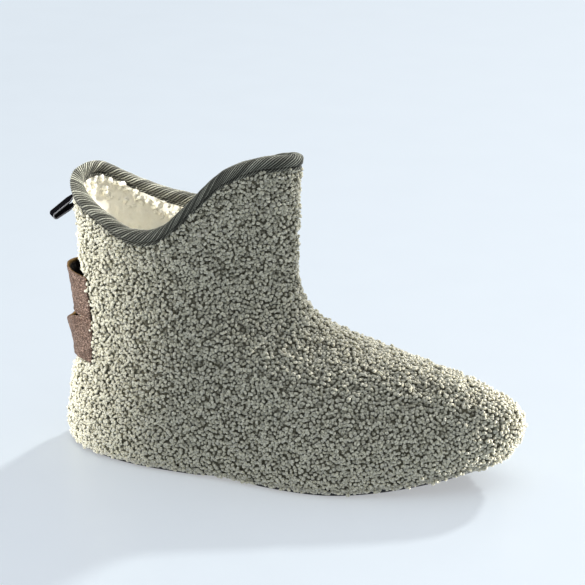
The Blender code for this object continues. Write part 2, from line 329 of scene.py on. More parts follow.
# Camera, matched to the photograph's frame
IMAGE_PX = 585
FOCAL_PX = 3138
SENSOR = 36
CAMERA_AZIMUTH = 20.4
CAMERA_ELEVATION = 18.8
CAMERA_DISTANCE = 1.7
CAMERA_TARGET = Vector((0.1305, 0.0, 0.0968))

# Floor, sky and sun
FLOOR_REACH = 6.0
FLOOR_FADE = 0.5
SKY_STRENGTH = 0.97
SKY_FADE = 0.8
SUN_AZIMUTH = 14
SUN_ELEVATION = 31
SUN_STRENGTH = 2.05
SUN_ANGLE = math.radians(5)

# Spot lamps on the shoe alone: what each shines on, from which side in degrees, its watts and colour, how far
# from the target its light ends, and how softly
LAMP_DISTANCE = 1.2
SPOT_RADIUS = 0.04
HEEL_SIDE = (-0.127, 0.071, 0.07)
HEEL_INSIDE = (0.008, 0.0, 0.140)
TOE_TIP = (0.255, 0.0, 0.018)
Spot = namedtuple("Spot", "name target azimuth elevation watts colour reach blend")
SPOTS = (
    Spot("heel_light", HEEL_SIDE, -158, 24, 104, "#fffcf6", 0.22, 0.3),
    Spot("toe_light", TOE_TIP, 60, 6, 130, "#fffaf2", 0.08, 0.7),
    Spot("collar_light", HEEL_INSIDE, 60, 32, 130, "#fffcf6", 0.066, 0.2),
)

# Shape of the upper


def column(table, name):
    return np.array([getattr(row, name) for row in table])


def smooth(knots, values, at):
    """A smooth curve through the rows of a table."""
    slopes = np.gradient(values, knots)
    k = np.clip(np.searchsorted(knots, at, side="right") - 1, 0, len(knots) - 2)
    gap = knots[k + 1] - knots[k]
    s = (at - knots[k]) / gap
    start = values[k] * (1 + 2 * s) + slopes[k] * gap * s
    end = values[k + 1] * (3 - 2 * s) + slopes[k + 1] * gap * (s - 1)
    return start * (1 - s) ** 2 + end * s**2


def by_side(table, knots, angle, at):
    outer = smooth(column(table, knots), column(table, "outer"), at)
    inner = smooth(column(table, knots), column(table, "inner"), at)
    return np.where(np.sin(angle) >= 0, outer, inner)


def roll(x):
    return np.clip((x - ROLL_START) / (LENGTH - ROLL_START), 0, None) ** 2


def upper_outside(around, up):
    """The upper's outer face. around runs 0 to 1 from the back seam by the outer side, up 0 to 1 from sole to
    collar."""
    around, up = np.broadcast_arrays(np.asarray(around, float), np.asarray(up, float))
    level = up * (len(SECTIONS) - 1)
    levels = np.arange(len(SECTIONS), dtype=float)
    loop = Section(*(smooth(levels, column(SECTIONS, name), level) for name in Section._fields))
    angle = 2 * math.pi * around
    along = (1 - np.cos(angle)) / 2
    way = 1 - np.abs(1 - 2 * np.mod(around, 1))
    foot = by_side(STATIONS, "share", angle, along)
    shaft = smooth(column(STATIONS, "share"), column(STATIONS, "shaft"), along)
    fullness = loop.foot * foot + (1 - loop.foot) * shaft
    top = SECTIONS[-1]
    wave = by_side(COLLAR_EDGE, "way", angle, way) - top.back_z - (top.front_z - top.back_z) * along
    x = LENGTH * (loop.back_x + (loop.front_x - loop.back_x) * along)
    lift = TOE_SPRING + SOLE_LIFT * np.clip(1 - level / SOLE_LIFT_LEVELS, 0, 1)
    y = -BALL_HALF_WIDTH * loop.half_width * np.sin(angle) * fullness
    z = COLLAR_HEIGHT * (loop.back_z + (loop.front_z - loop.back_z) * along + loop.dip * wave)
    return np.stack([x, y + TOE_SWING * roll(x), z + lift * roll(x)], axis=-1)


def unit(vectors):
    return vectors / np.linalg.norm(vectors, axis=-1, keepdims=True)


def slope_around(around, up):
    ahead = upper_outside(around + SLOPE_STEP, up)
    behind = upper_outside(around - SLOPE_STEP, up)
    return (ahead - behind) / (2 * SLOPE_STEP)


def slope_up(around, up):
    top = np.minimum(up + SLOPE_STEP, 1)
    bottom = np.maximum(up - SLOPE_STEP, 0)
    return (upper_outside(around, top) - upper_outside(around, bottom)) / (top - bottom)[..., None]


def outward(around, up):
    around, up = np.broadcast_arrays(np.asarray(around, float), np.asarray(up, float))
    return unit(np.cross(slope_around(around, up), slope_up(around, up)))


def crease_depth(points):
    """How far the soft hollows press the cloth in at these points."""
    depth = np.zeros(points.shape[:-1])
    for crease in CREASES:
        middle = upper_outside(crease.around, crease.up)
        level = unit(slope_around(np.array(crease.around), np.array(crease.up)))
        away = points - middle
        side = away @ level
        other = np.sqrt(np.maximum((away**2).sum(-1) - side**2, 0))
        fade = (side / (crease.wide * MM)) ** 2 + (other / (crease.high * MM)) ** 2
        depth += crease.depth * MM * np.exp(-fade)
    return np.clip(depth, -CREASE_MOST, CREASE_MOST)


def wall_face(around, up, depth):
    """A face this deep in the wall. Where the upper turns under, it is set in level."""
    away = outward(around, up)
    away[..., 2] *= np.clip(np.broadcast_to(up, away.shape[:-1]) / TURNED_UNDER, 0, 1)
    return upper_outside(around, up) - depth * unit(away)


def cloth_face(around, up):
    """The ground that the curls stand on, a pile's height inside the outer face and pressed in by creases."""
    points = upper_outside(around, up)
    return wall_face(around, up, PILE + crease_depth(points)[..., None])


def up_at(height, around):
    """The share up at which the surface reaches a height, at one place around it."""
    ups = np.linspace(0, 1, HEIGHT_STEPS)
    heights = upper_outside(np.full_like(ups, around), ups)[:, 2]
    return np.interp(height, heights, ups)


def tape_foot(around):
    """The share up of the tape's lower edge."""
    ones = np.ones_like(around)
    return 1 - TAPE_LEG / np.linalg.norm(slope_up(around, ones), axis=-1)


# The shoe's own zero in the frame, from the box of the upper: both are made of the same sections
SHOE_ORIGIN = np.zeros(3)
upper_low, upper_high = (np.array(corner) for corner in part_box("upper"))
sampled = upper_outside(np.arange(SOLID_STEPS)[:, None] / SOLID_STEPS, np.linspace(0, 1, HEIGHT_STEPS))
sampled_low, sampled_high = sampled.min(axis=(0, 1)), sampled.max(axis=(0, 1))
SHOE_ORIGIN[:2] = ((upper_low + upper_high - sampled_low - sampled_high) / 2)[:2]


# Meshes

# All the shoe's pieces, for the lamps that light them alone
SHOE = bpy.data.collections.new("shoe")


def ring_faces(rings, per_ring, closed=False):
    """Quads between rings of points; closed also joins the last ring to the first."""
    i, j = np.meshgrid(np.arange(rings if closed else rings - 1), np.arange(per_ring), indexing="ij")
    a, b = i * per_ring, (i + 1) % rings * per_ring
    n = (j + 1) % per_ring
    return np.stack([a + j, a + n, b + n, b + j], axis=-1).reshape(-1, 4)


def grid_faces(rows, columns):
    i, j = np.meshgrid(np.arange(rows - 1), np.arange(columns - 1), indexing="ij")
    a = i * columns + j
    return np.stack([a, a + 1, a + columns + 1, a + columns], axis=-1).reshape(-1, 4)


def piece(name, points, faces, cover, slot, solid, **values):
    """One smooth-shaded mesh that rides on the shoe. A face that repeats its third point is a triangle, and
    values are numbers kept at the points."""
    mesh = bpy.data.meshes.new(name)
    places = np.asarray(points).reshape(-1, 3) + SHOE_ORIGIN
    faces = np.asarray(faces)
    corners = np.where(faces[:, 2] == faces[:, 3], 3, 4)
    mesh.vertices.add(len(places))
    mesh.vertices.foreach_set("co", places.astype(np.float32).ravel())
    mesh.loops.add(corners.sum())
    mesh.loops.foreach_set("vertex_index", faces[np.arange(4) < corners[:, None]].astype(np.int32))
    mesh.polygons.add(len(faces))
    mesh.polygons.foreach_set("loop_start", (np.cumsum(corners) - corners).astype(np.int32))
    mesh.update(calc_edges=True)
    mesh.validate()
    mesh.shade_smooth()
    for key, numbers in values.items():
        kept = mesh.attributes.new(key, "FLOAT", "POINT")
        kept.data.foreach_set("value", np.asarray(numbers, np.float32).ravel())
    mesh.materials.append(cover)
    made = bpy.data.objects.new(name, mesh)
    bpy.context.scene.collection.objects.link(made)
    SHOE.objects.link(made)
    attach(made, "root")
    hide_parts(solid)
    return made


def wobble(points, size, seed=0):
    """Smooth noise from -1 to 1 at points, with features about this size."""
    flat = np.asarray(points).reshape(-1, 3) / size + seed
    values = [noise.noise(Vector(p)) for p in flat.tolist()]
    return np.array(values).reshape(np.shape(points)[:-1])


def tubes(paths, toward, radii, sides):
    """Round tubes along many paths (n, points, 3) at once, their rings turned toward directions (n, 3)."""
    count, steps, _ = paths.shape
    along = unit(np.gradient(paths, axis=1))
    out = toward[:, None] - along * (toward[:, None] * along).sum(-1, keepdims=True)
    out = unit(out + NEVER_ZERO)
    across = np.cross(along, out)
    turn = 2 * math.pi * np.arange(sides) / sides
    ring = out[:, :, None] * np.cos(turn)[:, None] + across[:, :, None] * np.sin(turn)[:, None]
    points = paths[:, :, None] + ring * radii[:, None, None]
    one = ring_faces(steps, sides)
    fan = np.array([(0, k, k + 1, k + 1) for k in range(1, sides - 1)])
    one = np.concatenate([one, fan[:, (0, 2, 1, 1)], fan + (steps - 1) * sides])
    faces = one[None] + (np.arange(count) * steps * sides)[:, None, None]
    return points.reshape(-1, 3), faces.reshape(-1, 4)


# Materials


def linear(code):
    """An sRGB hex colour as linear red, green, blue and alpha."""
    parts = [int(code[k : k + 2], 16) / 255 for k in (1, 3, 5)]
    return (*(c / 12.92 if c <= 0.04045 else ((c + 0.055) / 1.055) ** 2.4 for c in parts), 1)


def feed(target, inputs):
    """Gives a node its inputs: values, or sockets to link from."""
    for key, value in inputs.items():
        if isinstance(value, bpy.types.NodeSocket):
            target.id_data.links.new(value, target.inputs[key])
        else:
            target.inputs[key].default_value = value


def node(tree, kind, inputs, out=0, **settings):
    """Adds a shader node with its settings and inputs, and returns one of its outputs."""
    made = tree.nodes.new("ShaderNode" + kind)
    for key, value in settings.items():
        setattr(made, key, value)
    feed(made, inputs)
    return made.outputs[out]


def material(name):
    """A new material, its node tree, its Principled shader and the places that its textures follow."""
    made = bpy.data.materials.new(name)
    made.use_nodes = True
    tree = made.node_tree
    return made, tree, tree.nodes["Principled BSDF"], node(tree, "TexCoord", {}, "Object")


def per_metre(size_mm):
    return 1000 / size_mm


def curly_wool():
    """Wool yarn felted into curls: fibres of several greys, with painted shade that makes them darker at the
    root and pale on top, painted bounce light near the hem and painted glints on some curls.
    """
    made, tree, shader, places = material("curly wool yarn")
    tone = node(tree, "Attribute", {}, "Fac", attribute_name="tone")
    fibres = node(tree, "TexNoise", {"Vector": places, "Scale": per_metre(0.9), "Detail": 3})
    uneven = node(tree, "Math", {0: fibres, 1: 1.2, 2: -0.6}, operation="MULTIPLY_ADD")
    share = node(tree, "Math", {0: tone, 1: uneven}, operation="ADD", use_clamp=True)
    shade = node(tree, "Mix", {0: share, 6: linear("#575546"), 7: linear("#d9d5bf")}, 2, data_type="RGBA")
    bump = node(tree, "Bump", {"Height": fibres, "Distance": 0.6 * MM})
    feed(shader, {"Base Color": shade, "Normal": bump, "Roughness": 0.92, "Sheen Weight": 0.25})
    feed(shader, {"Specular IOR Level": 0.1, "Subsurface Weight": 0.7, "Subsurface Radius": (1, 0.97, 0.9)})
    feed(shader, {"Subsurface Scale": 2 * MM})
    return made


def knitted_backing():
    """Knitted ground of the curly cloth: small grey loops with painted shade that darkens the gaps between
    them, seen only between the curls.
    """
    made, tree, shader, places = material("knitted wool backing")
    stitches = node(tree, "TexVoronoi", {"Vector": places, "Scale": per_metre(1.2)})
    # Painted shade: darker away from each loop's middle, where the bump is low
    shade = node(tree, "Mix", {0: stitches, 6: linear("#96937f"), 7: linear("#4a473c")}, 2, data_type="RGBA")
    bump = node(tree, "Bump", {"Height": stitches, "Distance": 0.5 * MM}, invert=True)
    feed(shader, {"Base Color": shade, "Normal": bump, "Roughness": 0.95, "Specular IOR Level": 0.1})
    return made


def cotton_twill():
    """Cotton twill tape cut on the bias: ribs of spun yarn, with a painted highlight that makes their backs
    pale grey and painted shade that makes the grooves between them near black.
    """
    made, tree, shader, places = material("cotton twill tape")
    rib = node(tree, "Attribute", {}, "Fac", attribute_name="rib")
    yarn = node(tree, "TexNoise", {"Vector": places, "Scale": per_metre(0.5), "Detail": 3})
    # Painted highlight on the ribs' crests and painted shade between them, broken up by the yarn's noise
    uneven_ribs = node(tree, "Math", {0: rib, 1: yarn}, operation="MULTIPLY")
    shade = node(tree, "Mix", {0: uneven_ribs, 6: linear("#0b0b07"), 7: linear("#e0e0cd")}, 2, data_type="RGBA")
    bump = node(tree, "Bump", {"Height": yarn, "Distance": 0.2 * MM})
    feed(shader, {"Base Color": shade, "Normal": bump, "Roughness": 0.8, "Sheen Weight": 0.15})
    feed(shader, {"Specular IOR Level": 0.12})
    return made


def brushed_fleece():
    """Brushed polyester fleece: cream, with soft tufts that catch the light and warm shade between them."""
    made, tree, shader, places = material("brushed cream fleece")
    grain = {"Scale": per_metre(2.2), "Detail": 5, "Roughness": 0.65}
    tufts = node(tree, "TexNoise", {"Vector": places, **grain})
    shade = node(tree, "Mix", {0: tufts, 6: linear("#efe9d6"), 7: linear("#fdfaee")}, 2, data_type="RGBA")
    bump = node(tree, "Bump", {"Height": tufts, "Distance": 0.35 * MM})
    feed(shader, {"Base Color": shade, "Normal": bump, "Roughness": 0.95, "Sheen Weight": 0.1})
    feed(shader, {"Specular IOR Level": 0.1, "Subsurface Weight": 0.3, "Subsurface Radius": (1, 0.95, 0.85)})
    feed(shader, {"Subsurface Scale": 3 * MM})
    return made


def grained_leather():
    """Brown leather with a pressed grain: dull pebbles, darker in the grooves between them, pale cracks,
    painted shade that makes its inside near black, and a golden raw rim.
    """
    made, tree, shader, places = material("grained brown leather")
    inner = node(tree, "Attribute", {}, "Fac", attribute_name="inner")
    rim = node(tree, "Attribute", {}, "Fac", attribute_name="rim")
    wander = node(tree, "TexNoise", {"Vector": places, "Scale": per_metre(1.5), "Detail": 2}, "Color")
    bent = node(tree, "Mix", {0: 0.0008, 6: places, 7: wander}, 2, data_type="RGBA")
    pebbles = node(tree, "TexVoronoi", {"Vector": bent, "Scale": per_metre(1.4)}, feature="DISTANCE_TO_EDGE")
    folds = node(tree, "TexVoronoi", {"Vector": bent, "Scale": per_metre(4.5)}, feature="DISTANCE_TO_EDGE")
    cracks = node(tree, "Math", {0: folds, 1: 0.02}, operation="LESS_THAN")
    height = node(tree, "Math", {0: pebbles, 1: 4.0}, operation="MULTIPLY", use_clamp=True)
    patches = node(tree, "TexNoise", {"Vector": places, "Scale": per_metre(5), "Detail": 3})
    dye = node(tree, "Mix", {0: patches, 6: linear("#6c584c"), 7: linear("#ab9283")}, 2, data_type="RGBA")
    grain = node(tree, "Mix", {0: height, 6: linear("#3f2e27"), 7: dye}, 2, data_type="RGBA")
    outer = node(tree, "Mix", {0: cracks, 6: grain, 7: linear("#ab9284")}, 2, data_type="RGBA")
    # Painted shade: the inside face near black, except its golden raw rim
    painted_shade_and_raw_rim = node(tree, "Mix", {0: rim, 6: linear("#150e08"), 7: linear("#8f6d30")}, 2, data_type="RGBA")
    shade = node(tree, "Mix", {0: inner, 6: outer, 7: painted_shade_and_raw_rim}, 2, data_type="RGBA")
    bump = node(tree, "Bump", {"Height": height, "Distance": 0.7 * MM})
    feed(shader, {"Base Color": shade, "Normal": bump, "Roughness": 0.55, "Specular IOR Level": 0.12})
    return made


def woven_ribbon():
    """Black ribbed ribbon of polyester: fine ribs across it, and a painted highlight that makes its edges
    pale grey.
    """
    made, tree, shader, _ = material("black ribbed ribbon")
    edge = node(tree, "Attribute", {}, "Fac", attribute_name="edge")
    along = node(tree, "Attribute", {}, "Fac", attribute_name="along")
    turns = node(tree, "Math", {0: along, 1: 2 * math.pi * per_metre(0.8)}, operation="MULTIPLY")
    ribs = node(tree, "Math", {0: turns}, operation="SINE")
    # Painted highlight: pale grey where the edge attribute marks the ribbon's edges
    shade = node(tree, "Mix", {0: edge, 6: linear("#08080b"), 7: linear("#84858a")}, 2, data_type="RGBA")
    bump = node(tree, "Bump", {"Height": ribs, "Distance": 0.08 * MM})
    feed(shader, {"Base Color": shade, "Normal": bump, "Roughness": 0.9, "Specular IOR Level": 0.02})
    return made


def moulded_rubber():
    """Moulded dark rubber: almost black, a little blue, dull with fine pitting."""
    made, tree, shader, places = material("moulded dark rubber")
    pits = node(tree, "TexNoise", {"Vector": places, "Scale": per_metre(0.6), "Detail": 3})
    shade = node(tree, "Mix", {0: pits, 6: linear("#0d0e12"), 7: linear("#22242a")}, 2, data_type="RGBA")
    bump = node(tree, "Bump", {"Height": pits, "Distance": 0.1 * MM})
    feed(shader, {"Base Color": shade, "Normal": bump, "Roughness": 0.6, "Specular IOR Level": 0.4})
    return made


def linen_thread():
    """Waxed linen thread: a little darker than the leather, with paler turns of its ply."""
    made, tree, shader, places = material("waxed linen thread")
    ply = node(tree, "TexNoise", {"Vector": places, "Scale": per_metre(0.5)})
    shade = node(tree, "Mix", {0: ply, 6: linear("#4d3a32"), 7: linear("#7d6558")}, 2, data_type="RGBA")
    bump = node(tree, "Bump", {"Height": ply, "Distance": 0.1 * MM})
    feed(shader, {"Base Color": shade, "Normal": bump, "Roughness": 0.6, "Specular IOR Level": 0.1})
    return made


# Pieces


def shell(name, outer, inner, cover, slot):
    """A closed wall between rings of its outer and inner faces, both from the bottom up."""
    rings = list(outer) + list(inner)[::-1]
    faces = ring_faces(len(rings), len(rings[0]), closed=True)
    return piece(name, np.concatenate(rings), faces, cover, slot, "upper")


def make_backing():
    around = np.arange(BACKING_AROUND) / BACKING_AROUND
    foot = tape_foot(around)
    top = foot + BACKING_UNDER_TAPE * (1 - foot)
    ups = [top * k / BACKING_UP for k in range(BACKING_UP + 1)]
    outer = [cloth_face(around, up) + outward(around, up) * BACKING_RISE for up in ups]
    inner = [wall_face(around, up, BACKING_DEPTH) for up in ups]
    return shell("cloth_backing", outer, inner, knitted_backing(), "curly_cloth")


def make_lining(fleece):
    around = np.arange(LINING_AROUND) / LINING_AROUND
    foot = tape_foot(around)
    top = foot + LINING_UNDER_TAPE * (1 - foot)
    ups = [top * (1 - (1 - k / LINING_UP) ** LINING_CROWDS_UP) for k in range(LINING_UP + 1)]
    inner = []
    for up in ups:
        face = wall_face(around, up, WALL)
        lump = wobble(face, LUMP, seed=7) + wobble(face, SMALL_LUMP, seed=19) / 2
        inner.append(face + outward(around, up) * (LUMP_BASE + LUMP_STAND * lump)[:, None])
    outer = [wall_face(around, up, BACKING_DEPTH + LINING_GAP) for up in ups[::2]]
    return shell("fleece_lining", outer, inner, fleece, "fleece")


def curl_forms(random):
    """A few loops of yarn, from a half to a whole turn round an axis, in a unit of their radius."""
    share = np.linspace(0, 1, CURL_POINTS)
    forms = []
    for _ in range(CURL_FORMS):
        turn = 2 * math.pi * random.uniform(*CURL_TURNS) * share
        reach = random.uniform(*CURL_REACH) * (1 - random.uniform(*CURL_CLOSES) * share)
        oval = random.uniform(*CURL_OVAL)
        rise = random.uniform(*CURL_ARCH) * np.sin(math.pi * share) + random.uniform(*CURL_CLIMB) * share
        forms.append(np.stack([reach * np.cos(turn), oval * reach * np.sin(turn), rise], -1))
    forms = np.array(forms)
    return forms - forms.mean(axis=1, keepdims=True) * (1, 1, 0)


def strewn_places(random, tries, spacing, lowest):
    """Places over the upper, as shares around and up from the lowest, none nearer than spacing to another."""
    around = random.random(tries)
    up = lowest + (1 - lowest) * random.random(tries)
    cross = np.cross(slope_around(around, up), slope_up(around, up))
    area = np.linalg.norm(cross, axis=-1)
    likely = random.random(tries) < area / np.quantile(area, FULL_AREA)
    around, up = around[likely], up[likely]
    points = upper_outside(around, up)
    cells = np.floor(points / spacing).astype(int).tolist()
    steps = [(i, j, k) for i in (-1, 0, 1) for j in (-1, 0, 1) for k in (-1, 0, 1)]
    taken = {}
    kept = []
    for index, ((a, b, c), (x, y, z)) in enumerate(zip(cells, points.tolist())):
        near = [p for i, j, k in steps for p in taken.get((a + i, b + j, c + k), ())]
        if all((x - p[0]) ** 2 + (y - p[1]) ** 2 + (z - p[2]) ** 2 >= spacing**2 for p in near):
            taken.setdefault((a, b, c), []).append((x, y, z))
            kept.append(index)
    return around[kept], up[kept]


def curls(random, ground, normal, first, radius, yarn, sides):
    """A curl of yarn on each place of the ground: points (curls, points of one, 3) and the faces of one."""
    count = len(ground)
    second = np.cross(normal, first)
    spin = random.uniform(0, 2 * math.pi, count)
    lean = random.uniform(0, CURL_TILT, count)
    toward = random.uniform(0, 2 * math.pi, count)
    level = first * np.cos(toward)[:, None] + second * np.sin(toward)[:, None]
    axis = unit(normal * np.cos(lean)[:, None] + level * np.sin(lean)[:, None])
    right = unit(np.cross(axis, first * np.sin(spin)[:, None] + second * np.cos(spin)[:, None]))
    ahead = np.cross(axis, right)
    size = random.uniform(*CURL_SIZES, count) * radius
    forms = curl_forms(random)[random.integers(0, CURL_FORMS, count)]
    paths = np.einsum("npk,nkd->npd", forms, np.stack([right, ahead, axis], axis=1)) * size[:, None, None]
    stray = (random.random(count) < CURL_STRAYS) * random.uniform(*STRAY_RISE, count)
    paths += (ground + normal * (random.uniform(*CURL_RISE, count) + stray)[:, None] * yarn)[:, None]
    ends = (0, YARN_END_SHARE, 1 - YARN_END_SHARE, 1)
    taper = yarn * np.interp(np.linspace(0, 1, CURL_POINTS), ends, (YARN_END, 1, 1, YARN_END))
    points, faces = tubes(paths, axis, taper, sides)
    return points.reshape(count, CURL_POINTS * sides, 3), faces.reshape(count, -1, 4)[0]


def bare_places(around, up, height):
    """Where the cloth carries no curls: under the tape and behind the middle of the heel tabs."""
    across = ((around + 0.5) % 1 - 0.5) / TAB_HALF_AROUND
    belly = np.cos(across * math.pi / 2) ** 2
    tape = tape_foot(around)
    bare = up > tape + CURLS_UNDER_TAPE * (1 - tape)
    upper_tab, lower_tab = TABS
    foot = lower_tab.foot - lower_tab.foot_scoop * belly
    rim = upper_tab.rim - upper_tab.rim_scoop * belly**2
    between = (height > lower_tab.rim - lower_tab.rim_scoop * belly**2) & (height < upper_tab.foot)
    gap = between & (np.abs(across) < TAB_GAP_SEEN)
    return bare | (np.abs(across) < TAB_BARE) & (height > foot) & (height < rim) & ~gap


def stand_by_tabs(around, height):
    """How far the curls along the tabs' sewn sides stand up round the leather."""
    side = np.abs((around + 0.5) % 1 - 0.5)
    beside = np.exp(-(((side - TAB_HALF_AROUND) / TAB_BITE_WIDTH) ** 2))
    level = (height > TABS[1].foot) & (height < TABS[0].rim)
    return TAB_BITE * beside * level


def make_curls():
    random = np.random.default_rng(CURL_SEED)
    around, up = strewn_places(random, CURL_TRIES, CURL_SPACING, 0)
    ground = cloth_face(around, up)
    kept = ~bare_places(around, up, ground[:, 2])
    around, up, ground = around[kept], up[kept], ground[kept]
    for drop in HEM_DROPS:
        hem = (np.arange(HEM_CURLS) + random.uniform(-HEM_SHIFT, HEM_SHIFT, HEM_CURLS)) / HEM_CURLS
        around = np.concatenate([around, hem])
        up = np.concatenate([up, np.zeros(HEM_CURLS)])
        drops = drop * MM * random.uniform(*HEM_UNEVEN, HEM_CURLS)
        ground = np.concatenate([ground, wall_face(hem, 0.0, PILE) - drops[:, None] * (0, 0, 1)])
    normal = outward(around, up)
    clump = wobble(ground, CLUMP, seed=13)
    stand = CLUMP_BASE + CLUMP_STAND * clump + stand_by_tabs(around, ground[:, 2])
    ground = ground + normal * stand[:, None]
    level = unit(slope_around(around, up))
    points, each = curls(random, ground, normal, level, CURL_RADIUS, YARN_RADIUS, CURL_SIDES)
    lift = ((points - ground[:, None]) * normal[:, None]).sum(-1) / PILE
    shift_and_painted_light = CLUMP_PALER * clump + random.normal(0, TONE_SPREAD, len(ground))
    # Painted bounce light from the floor: curls paler near the hem
    shift_and_painted_light += HEM_PAINTED_BOUNCE * np.exp(-up / HEM_BOUNCE_FADE)
    # Painted glints: a share of curls made paler
    shift_and_painted_light += GLINT_PALER * (random.random(len(ground)) < GLINT_CURLS)
    # Painted shade: curls darker at the root and paler up the pile; the shift also carries painted bounce
    # light and painted glints
    tone = np.clip(ROOT_TONE + PAINTED_ROOT_SHADE * lift + shift_and_painted_light[:, None], 0, 1)
    cloth = curly_wool()
    for k, some in enumerate(np.array_split(np.arange(len(ground)), CURL_PIECES)):
        faces = (each[None] + (np.arange(len(some)) * points.shape[1])[:, None, None]).reshape(-1, 4)
        name = f"cloth_curls_{k + 1}"
        piece(name, points[some], faces, cloth, "curly_cloth", "upper", tone=tone[some])


def make_tufts(fleece):
    """Tufts of the lining that stand out over the tape's inner edge and make it ragged."""
    random = np.random.default_rng(TUFT_SEED)
    around, up = strewn_places(random, TUFT_TRIES, TUFT_SPACING, TUFT_LOWEST)
    below = tape_foot(around) - up
    shown = (below > 0) & (below < TUFT_BAND)
    around, up, below = around[shown], up[shown], below[shown]
    sunk = TUFT_SUNK + TUFT_SINKS * below / TUFT_BAND
    ground = wall_face(around, up, WALL - sunk[:, None])
    level = unit(slope_around(around, up))
    points, each = curls(random, ground, -outward(around, up), level, TUFT_RADIUS, TUFT_YARN, TUFT_SIDES)
    faces = (each[None] + (np.arange(len(ground)) * points.shape[1])[:, None, None]).reshape(-1, 4)
    piece("fleece_tufts", points, faces, fleece, "fleece", "upper")


def collar_length():
    """Shares around the collar edge and the edge's length up to each."""
    around = np.linspace(0, 1, COLLAR_POINTS)
    gaps = np.linalg.norm(np.diff(upper_outside(around, 1.0), axis=0), axis=1)
    return around, np.concatenate([[0], np.cumsum(gaps)])


def tape_points(around, out, high):
    """Points of the tape this far out of the wall's outer face and this far over the collar edge."""
    top = np.ones_like(around)
    slope = slope_up(around, top)
    up = top + min(high, 0) / np.linalg.norm(slope, axis=-1)
    return upper_outside(around, up) + outward(around, up) * out + unit(slope) * max(high, 0)


def make_tape():
    """The tape folded over the wall's edge. Its columns lean with its ribs, which wind round it."""
    half = WALL / 2 + TAPE_GAP + TAPE_THICKNESS
    face = [Rib(row.out * MM, row.high * MM, row.stand) for row in TAPE_FACE]
    turns = np.linspace(0, math.pi, TAPE_CROWN_POINTS)
    crown = [Rib(half * math.cos(t) - WALL / 2, TAPE_CROWN * math.sin(t), 1) for t in turns]
    inside = [Rib(-WALL - row.out, row.high, row.stand) for row in face[::-1]]
    under = [Rib(-WALL - TAPE_GAP, -TAPE_FOLD, 0), Rib(TAPE_GAP, -TAPE_FOLD, 0)]
    rows = face + crown + inside + under
    edge, length = collar_length()
    ribs = round(length[-1] / TAPE_RIB)
    steps = np.arange(ribs * TAPE_STEPS_PER_RIB)
    random = np.random.default_rng(TAPE_SEED)
    uneven_ribs = random.uniform(*TAPE_RIB_UNEVEN, ribs)[np.round(steps / TAPE_STEPS_PER_RIB).astype(int) % ribs]
    rib = np.abs(np.cos(math.pi * steps / TAPE_STEPS_PER_RIB))
    rib *= TAPE_RIB_LEAST + (1 - TAPE_RIB_LEAST) * uneven_ribs
    run = steps / len(steps) * length[-1]
    across = 0
    rings = []
    heights = []
    for before, row in zip([rows[0]] + rows, rows):
        across += math.hypot(row.out - before.out, row.high - before.high)
        around = np.interp((run + TAPE_RIB_LEAN * across) % length[-1], length, edge)
        ring = tape_points(around, row.out, row.high)
        core = tape_points(around, -WALL / 2, -TAPE_CORE)
        swell = rib * row.stand * TAPE_RIB_HEIGHT + TAPE_UNEVEN * wobble(core, TAPE_UNEVEN_SIZE, seed=5)
        rings.append(ring + unit(ring - core) * swell[:, None])
        # Painted highlight on the ribs' crests and painted shade between them, strongest where the ribs stand
        # most
        highlight_share = TAPE_FLAT_HIGHLIGHT + (1 - TAPE_FLAT_HIGHLIGHT) * row.stand
        heights.append(TAPE_RIB_HIGHLIGHT * rib**TAPE_RIB_SHARP * uneven_ribs * highlight_share)
    last = TAPE_RIB_LEAN * across / (length[-1] / len(steps))
    faces = ring_faces(len(rings), len(steps))
    turned = (np.arange(len(steps)) + round(last)) % len(steps)
    base = (len(rings) - 1) * len(steps)
    close = np.stack([base + steps, base + np.roll(steps, -1), np.roll(turned, -1), turned], axis=-1)
    return piece(
        "collar_tape",
        np.concatenate(rings),
        np.concatenate([faces, close]),
        cotton_twill(),
        "twill_tape",
        "collar_binding",
        rib=np.concatenate(heights),
    )


def tab_face(tab, across, share, extra):
    """Points of a heel tab: across runs -1 to 1 between its sewn sides, share 0 to 1 from foot to rim."""
    side = across * TAB_HALF_AROUND
    belly = np.cos(across * math.pi / 2) ** 2
    foot = tab.foot - tab.foot_scoop * belly
    height = foot + (tab.rim - tab.rim_scoop * belly**2 - foot) * share
    ups = np.linspace(0, 1, HEIGHT_STEPS)
    heights = upper_outside(side[:, None], ups)[..., 2]
    up = np.array([np.interp(z, row, ups) for z, row in zip(height, heights)])
    stand = TAB_GAP + belly * (tab.foot_stand + (tab.rim_stand - tab.foot_stand) * share) + extra
    return upper_outside(side, up) + outward(side, up) * np.broadcast_to(stand, side.shape)[:, None]


def end_faces(rings, per_ring):
    """Faces over both ends of a folded strip, whose rings run out along one face and back along the other."""
    faces = []
    for start, turned in ((0, True), ((rings - 1) * per_ring, False)):
        for j in range(per_ring // 2 - 1):
            back = per_ring - 1 - j
            face = [start + j, start + j + 1, start + back - 1, start + back]
            faces.append(face[::-1] if turned else face)
    return np.array(faces)


